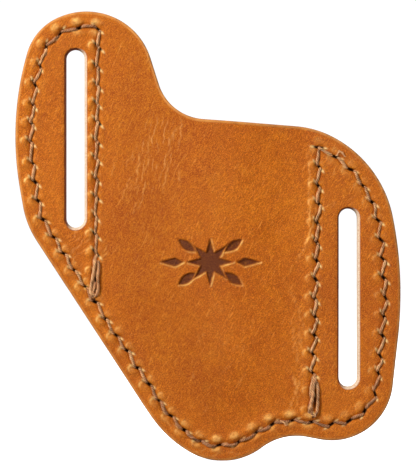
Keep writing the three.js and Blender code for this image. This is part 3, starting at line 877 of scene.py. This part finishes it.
def stitch_path(stitch, face, rise):
    """The strand's centre line over the leather, down into a slit at each end."""
    bow = stitch.left * (stitch.aside + RNG.normal(0, STITCH_WANDER))
    mid = (stitch.a + stitch.b) / 2
    flat_points = np.array([
        stitch.dive_a, stitch.a, stitch.a * 0.78 + stitch.b * 0.22 + bow * 0.8, mid + bow,
        stitch.a * 0.22 + stitch.b * 0.78 + bow * 0.8, stitch.b, stitch.dive_b,
    ])
    flat_points[2:5] += RNG.normal(0, STITCH_WANDER, (3, 2))
    arch = STITCH_ARCH + stitch.proud * PROUD_SHARE
    y = MIDPLANE_Y + face * (LEATHER + arch + rise(flat_points))
    points = np.stack([flat_points[:, 0], y, flat_points[:, 1]], axis=1)
    return smooth_path(points, STITCH_POINTS)


def loose_path(hole, points):
    """A strand lying on the front, through points (x, z, height above the grain) measured from a hole."""
    points = np.array(points, float)
    place = holes.at[hole] + points[:, :2]
    y = MIDPLANE_Y - LEATHER - points[:, 2] - pocket_rise(place)
    return smooth_path(np.stack([place[:, 0], y, place[:, 1]], axis=1), LOOSE_POINTS * len(points))


def thread(name, stitches, face, rise, material, loose=(), fibres=()):
    strands = Strands()
    for stitch in stitches:
        strands.twisted(*stitch_path(stitch, face, rise), stitch.age)
    for hole, points in loose:
        strands.twisted(*loose_path(hole, points))
    for hole, points in fibres:
        strands.single(loose_path(hole, points)[0])
    return strands.make(name, material)


# ---- materials ----

class Graph:
    """A short way to wire a node material."""

    def __init__(self, name):
        self.material = bpy.data.materials.new(name)
        self.material.use_nodes = True
        self.nodes = self.material.node_tree.nodes
        self.links = self.material.node_tree.links
        self.shader = self.nodes["Principled BSDF"]

    def node(self, kind, inputs=(), **settings):
        made = self.nodes.new(kind)
        for key, value in settings.items():
            setattr(made, key, value)
        for key, value in dict(inputs).items():
            if isinstance(value, bpy.types.NodeSocket):
                self.links.new(value, made.inputs[key])
            else:
                made.inputs[key].default_value = value
        return made

    def math(self, operation, a, b=0.0, clamp=False):
        made = self.node("ShaderNodeMath", {0: a, 1: b}, operation=operation, use_clamp=clamp)
        return made.outputs[0]

    def times(self, a, b):
        return self.math("MULTIPLY", a, b)

    def fit(self, value, low, high, to_low=0.0, to_high=1.0):
        made = self.node("ShaderNodeMapRange", {
            "Value": value, "From Min": low, "From Max": high, "To Min": to_low, "To Max": to_high})
        return made.outputs[0]

    def mix(self, share, a, b, blend="MIX"):
        made = self.node("ShaderNodeMix", {0: share, 6: a, 7: b}, data_type="RGBA", blend_type=blend)
        return made.outputs[2]

    def coats(self, colour, *coats):
        """Coats laid over a colour one after another, each told as (share, colour)."""
        for share, coat in coats:
            colour = self.mix(share, colour, coat)
        return colour

    def attribute(self, name):
        return self.node("ShaderNodeAttribute", attribute_name=name).outputs["Fac"]

    def millimetres(self, scale=(1, 1, 1), turn=0.0):
        """The object's own coordinates in millimetres, scaled, and turned about Y first."""
        coordinates = self.node("ShaderNodeTexCoord").outputs["Object"]
        spun = self.node("ShaderNodeMapping", {
            "Vector": coordinates, "Rotation": (0, turn, 0), "Scale": (1000, 1000, 1000)})
        made = self.node("ShaderNodeVectorMath", {0: spun.outputs[0], 1: scale}, operation="MULTIPLY")
        return made.outputs[0]

    def noise(self, vector, scale, detail=3.0, roughness=0.55, distortion=0.0):
        made = self.node("ShaderNodeTexNoise", {
            "Vector": vector, "Scale": scale, "Detail": detail, "Roughness": roughness,
            "Distortion": distortion})
        return made.outputs["Fac"]

    def blotches(self, *noise):
        """Noise stretched to reach from 0 to 1."""
        return self.fit(self.noise(*noise), 0.3, 0.7)

    def bump(self, height, distance, strength):
        made = self.node("ShaderNodeBump", {"Height": height, "Distance": distance, "Strength": strength})
        return made.outputs[0]


def rgb(red, green, blue):
    """An sRGB colour, 0 to 255, as Blender's linear one."""
    linear = [((c / 255 + 0.055) / 1.055) ** 2.4 if c > 10 else c / 255 / 12.92 for c in (red, green, blue)]
    return (*linear, 1.0)


def leather_colour(g, mm, patch, fleck, hair, pebble, folds):
    """The grain side's colour: mottled tan, scuffed lighter on folds, lighter on the mounds, dark in the
    ornament, with painted highlights on the mounds' crescents and beside the ornament, lighter slit tips
    that are partly a painted highlight, painted shade in the slits and between the back-tacks' strands, and
    painted light that evens the pocket's shading.
    """
    drift = g.noise(mm, 0.045, 2)
    cloud = g.blotches(mm, 0.06, 4, 0.6)
    scratch = g.noise(g.millimetres((2.4, 1, 0.24), SCRATCH_TURN), 1, 2, 0.5, 0.4)
    uneven = g.fit(g.noise(mm, 0.9, 3), 0.35, 0.65, 0.3, 1)
    umber, tan, gold = rgb(132, 52, 1), rgb(204, 103, 5), rgb(234, 142, 26)
    colour = g.coats(
        g.mix(cloud, rgb(187, 84, 1), rgb(213, 110, 6)),
        (g.fit(drift, 0.5, 0.7, 0, 0.35), tan),
        (g.fit(patch, 0.6, 1, 0, 0.3), gold),
        (g.fit(patch, 0.4, 0, 0, 0.3), rgb(170, 70, 10)),
        (g.fit(fleck, 0.5, 1, 0, 0.75), rgb(244, 150, 40)),
        (g.fit(fleck, 0.5, 0, 0, 0.7), umber),
        (g.fit(pebble, 0.5, 0, 0, 0.2), umber),
        (g.fit(hair, 0.45, 0, 0, 0.3), umber),
        (g.fit(hair, 0.62, 1, 0, g.fit(drift, 0.4, 0.6, 0.4, 0.85)), gold),
        (g.fit(scratch, 0.63, 0.72, 0, 0.5), rgb(240, 154, 56)),
        (g.times(folds, 0.6), rgb(250, 178, 92)),
        (g.times(g.attribute("crease"), 0.7), rgb(246, 172, 84)),
        (g.times(g.times(g.attribute("lift"), uneven), 0.5), rgb(240, 154, 52)),
        # painted highlight on the mounds' upper left crescents and beside the ornament
        (g.times(g.attribute("painted_highlight"), uneven), rgb(255, 210, 120)),
        (g.times(g.attribute("pull"), 0.4), umber),
        # painted shade in the slits and between the back-tacks' strands
        (g.fit(g.attribute("slit"), 0.7, 1, 0, 0.95), rgb(26, 10, 4)),
        # lighter slit tips, partly a painted highlight
        (g.times(g.attribute("tip"), 0.97), rgb(255, 218, 142)),
        (g.times(g.attribute("mark"), g.fit(fleck, 0.2, 0.9, 0.95, 0.7)), rgb(78, 32, 16)),
    )
    # painted light that evens the pocket's shading
    evened = g.fit(g.attribute("counter_shade"), 0, 1, 0.78, 1.2)
    return g.mix(1, colour, evened, "MULTIPLY")


def leather_material(name):
    g = Graph(name)
    mm = g.millimetres()
    patch = g.blotches(mm, 0.35, 4, 0.62, 0.3)
    fleck = g.fit(g.noise(g.millimetres((5.4, 4, 3.3), GRAIN_TURN), 1, 2, 0.6), 0.32, 0.68)
    hair = g.fit(g.noise(g.millimetres((4.8, 2, 1.2), GRAIN_TURN), 0.85, 3, 0.6, 0.5), 0.32, 0.68)
    pores = g.node("ShaderNodeTexVoronoi", {
        "Vector": g.millimetres((4.8, 4, 2.9), GRAIN_TURN), "Scale": 1, "Randomness": 1.0},
        feature="DISTANCE_TO_EDGE")
    pebble = g.fit(pores.outputs["Distance"], 0, 0.28)
    wave = g.node("ShaderNodeTexWave", {
        "Vector": g.millimetres((1, 1, 1), FOLD_TURN), "Scale": 0.24, "Distortion": 8, "Detail": 3,
        "Detail Scale": 1.1, "Detail Roughness": 0.55})
    broken = g.fit(g.noise(g.millimetres((1, 1, 0.45)), 0.7, 2), 0.46, 0.58)
    folds = g.times(g.fit(wave.outputs["Fac"], 0.8, 1), g.times(broken, g.attribute("wrinkle")))
    grain_colour = leather_colour(g, mm, patch, fleck, hair, pebble, folds)

    cut, flesh = g.attribute("cut"), g.attribute("flesh")
    fibre = g.blotches(g.millimetres((3, 0.9, 3)), 1.3, 5, 0.7)
    # A slot's cut is painted light, cream where it faces the key light and dark brown as painted shade
    # where it faces away; the outer edge's cut is burnished dark.
    raw_and_lit = g.mix(fibre, rgb(222, 168, 116), rgb(255, 240, 216))
    burnished_and_shade = g.mix(fibre, rgb(86, 32, 6), rgb(146, 64, 18))
    nap = g.mix(g.blotches(mm, 1.6, 5, 0.75), rgb(140, 92, 54), rgb(190, 144, 98))
    # painted highlight along the outer edge
    edge_highlight_share = g.times(g.attribute("edge_highlight"), g.fit(patch, 0.2, 0.8, 0.5, 0.9))
    colour = g.coats(
        grain_colour, (cut, g.mix(g.attribute("lit_slot_rim"), burnished_and_shade, raw_and_lit)), (edge_highlight_share, rgb(238, 160, 80)),
        (flesh, nap),
    )
    g.links.new(colour, g.shader.inputs["Base Color"])

    rough = g.fit(g.noise(mm, 0.5, 4, 0.6), 0.3, 0.7, 0.42, 0.58)
    rough = g.math("ADD", rough, g.fit(fleck, 0, 1, -0.05, 0.06))
    rough = g.math("SUBTRACT", rough, g.times(g.attribute("lift"), 0.16))
    rough = g.math("ADD", rough, g.times(g.math("MAXIMUM", cut, flesh), 0.3), clamp=True)
    g.links.new(rough, g.shader.inputs["Roughness"])
    g.shader.inputs["Specular IOR Level"].default_value = 0.17

    relief = g.times(pebble, 0.6)
    for part, height in ((hair, 0.5), (fleck, 0.4), (folds, 0.7)):
        relief = g.math("ADD", relief, g.times(part, height))
    fuzz = g.times(g.noise(g.millimetres((4, 4, 4)), 1, 5, 0.8), 3)
    relief = g.node("ShaderNodeMix", {
        0: g.math("MAXIMUM", cut, flesh), 2: relief, 3: fuzz}, data_type="FLOAT").outputs[0]
    g.links.new(g.bump(relief, 0.00012, 0.8), g.shader.inputs["Normal"])
    return g.material


def thread_material(name):
    g = Graph(name)
    mm = g.millimetres()
    fibre = g.blotches(mm, 5, 4, 0.7)
    tone = g.attribute("tone")
    # Painted shade in the crevices between the plies, darkest on a ply's inner side.
    crevice_shade = g.fit(g.attribute("out"), 0.9, 0.62)
    colour = g.coats(
        g.mix(g.math("MAXIMUM", tone, 0), rgb(206, 128, 64), rgb(246, 188, 124)),
        (g.fit(tone, 0.2, -1.2, 0, 0.9), rgb(140, 80, 40)),
        (g.times(g.blotches(mm, 0.7, 4, 0.6), 0.45), rgb(124, 70, 32)),
        (g.times(fibre, 0.4), rgb(240, 200, 160)),
        (g.times(crevice_shade, 0.9), rgb(44, 19, 7)),
    )
    g.links.new(colour, g.shader.inputs["Base Color"])
    g.links.new(g.fit(fibre, 0, 1, 0.5, 0.75), g.shader.inputs["Roughness"])
    g.shader.inputs["Specular IOR Level"].default_value = 0.2
    g.links.new(g.bump(fibre, 0.00006, 0.7), g.shader.inputs["Normal"])
    return g.material


# ---- build ----

front_leather = leather_material("front_leather")
back_leather = leather_material("back_leather")
waxed_thread = thread_material("waxed_thread")

PIECES = [
    (panel("front_leather_panel", -1, pocket_rise, True, front_leather), "front_panel", "front_leather"),
    (panel("back_leather_panel", 1, flat, False, back_leather), "back_panel", "back_leather"),
    (thread("left_needle_stitches", left_stitches, -1, pocket_rise, waxed_thread,
            left_loose, left_fibres), "left_seam_needle_thread", "thread"),
    (thread("right_needle_stitches", right_stitches, -1, pocket_rise, waxed_thread,
            right_loose, right_fibres), "right_seam_needle_thread", "thread"),
    (thread("left_bobbin_stitches", left_stitches, 1, flat, waxed_thread),
     "left_seam_bobbin_thread", "thread"),
    (thread("right_bobbin_stitches", right_stitches, 1, flat, waxed_thread),
     "right_seam_bobbin_thread", "thread"),
]
for piece, node, slot in PIECES:
    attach(piece, "root")
    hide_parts(node)

# ---- stage: floor, light and camera ----

LIGHTS = [  # name, place, size, watts
    ("key", (-0.58, -0.52, 0.46), 0.12, 10.0),
    ("fill", (0.62, -0.62, -0.2), 0.4, 9.4),
    ("back", (0.5, 0.6, 0.4), 0.5, 4.0),
]
LIT_POINT = Vector((0, 0, -0.005))
CAMERA_DISTANCE, FRAME_HEIGHT = 0.9, 0.12324
CAMERA_X, CAMERA_Z = -0.00095, -0.00491
BACKDROP, AMBIENT = 1.05, 0.16
FLOOR_REACH = 3000.0


def add_floor():
    """A floor under the part, white to the camera and grey to the light that falls on it."""
    square = np.array([(-1, -1, 0), (1, -1, 0), (1, 1, 0), (-1, 1, 0)])
    corners = square * FLOOR_REACH + (0, 0, CAD_LOW.z / MM)
    g = Graph("pale_floor")
    seen = g.node("ShaderNodeLightPath").outputs["Is Camera Ray"]
    g.links.new(g.mix(seen, (0.3, 0.3, 0.3, 1), (0.9, 0.9, 0.9, 1)), g.shader.inputs["Base Color"])
    g.shader.inputs["Roughness"].default_value = 0.9
    g.shader.inputs["Emission Color"].default_value = (1, 1, 1, 1)
    g.links.new(seen, g.shader.inputs["Emission Strength"])
    add_mesh("floor", corners, [(0, 1, 2, 3)], {}, g.material)


def add_light(name, place, size, watts):
    data = bpy.data.lights.new(name, "AREA")
    data.size = size
    data.energy = watts
    light = add_object(name, data)
    light.location = place
    light.rotation_mode = "QUATERNION"
    light.rotation_quaternion = (LIT_POINT - light.location).to_track_quat("-Z", "Y")


def add_world():
    """A white backdrop for the camera, and much less light from all round for the part."""
    world = bpy.data.worlds.new("studio")
    bpy.context.scene.world = world
    world.use_nodes = True
    nodes, links = world.node_tree.nodes, world.node_tree.links
    back = nodes["Background"]
    path = nodes.new("ShaderNodeLightPath")
    shade = nodes.new("ShaderNodeMix")
    shade.inputs[2].default_value = AMBIENT
    shade.inputs[3].default_value = BACKDROP
    links.new(path.outputs["Is Camera Ray"], shade.inputs[0])
    links.new(shade.outputs[0], back.inputs["Strength"])
    back.inputs["Color"].default_value = (1, 1, 1, 1)


def add_camera():
    """Straight in front, a little way off, framed as in the photograph."""
    data = bpy.data.cameras.new("camera")
    data.sensor_width = 36
    data.lens = data.sensor_width * CAMERA_DISTANCE / FRAME_HEIGHT
    camera = add_object("camera", data)
    camera.location = (CAMERA_X, -2 * LEATHER * MM - CAMERA_DISTANCE, CAMERA_Z)
    camera.rotation_euler = (math.pi / 2, 0, 0)
    bpy.context.scene.camera = camera


add_floor()
add_world()
for light in LIGHTS:
    add_light(*light)
add_camera()
bpy.context.scene.view_settings.view_transform = "Standard"
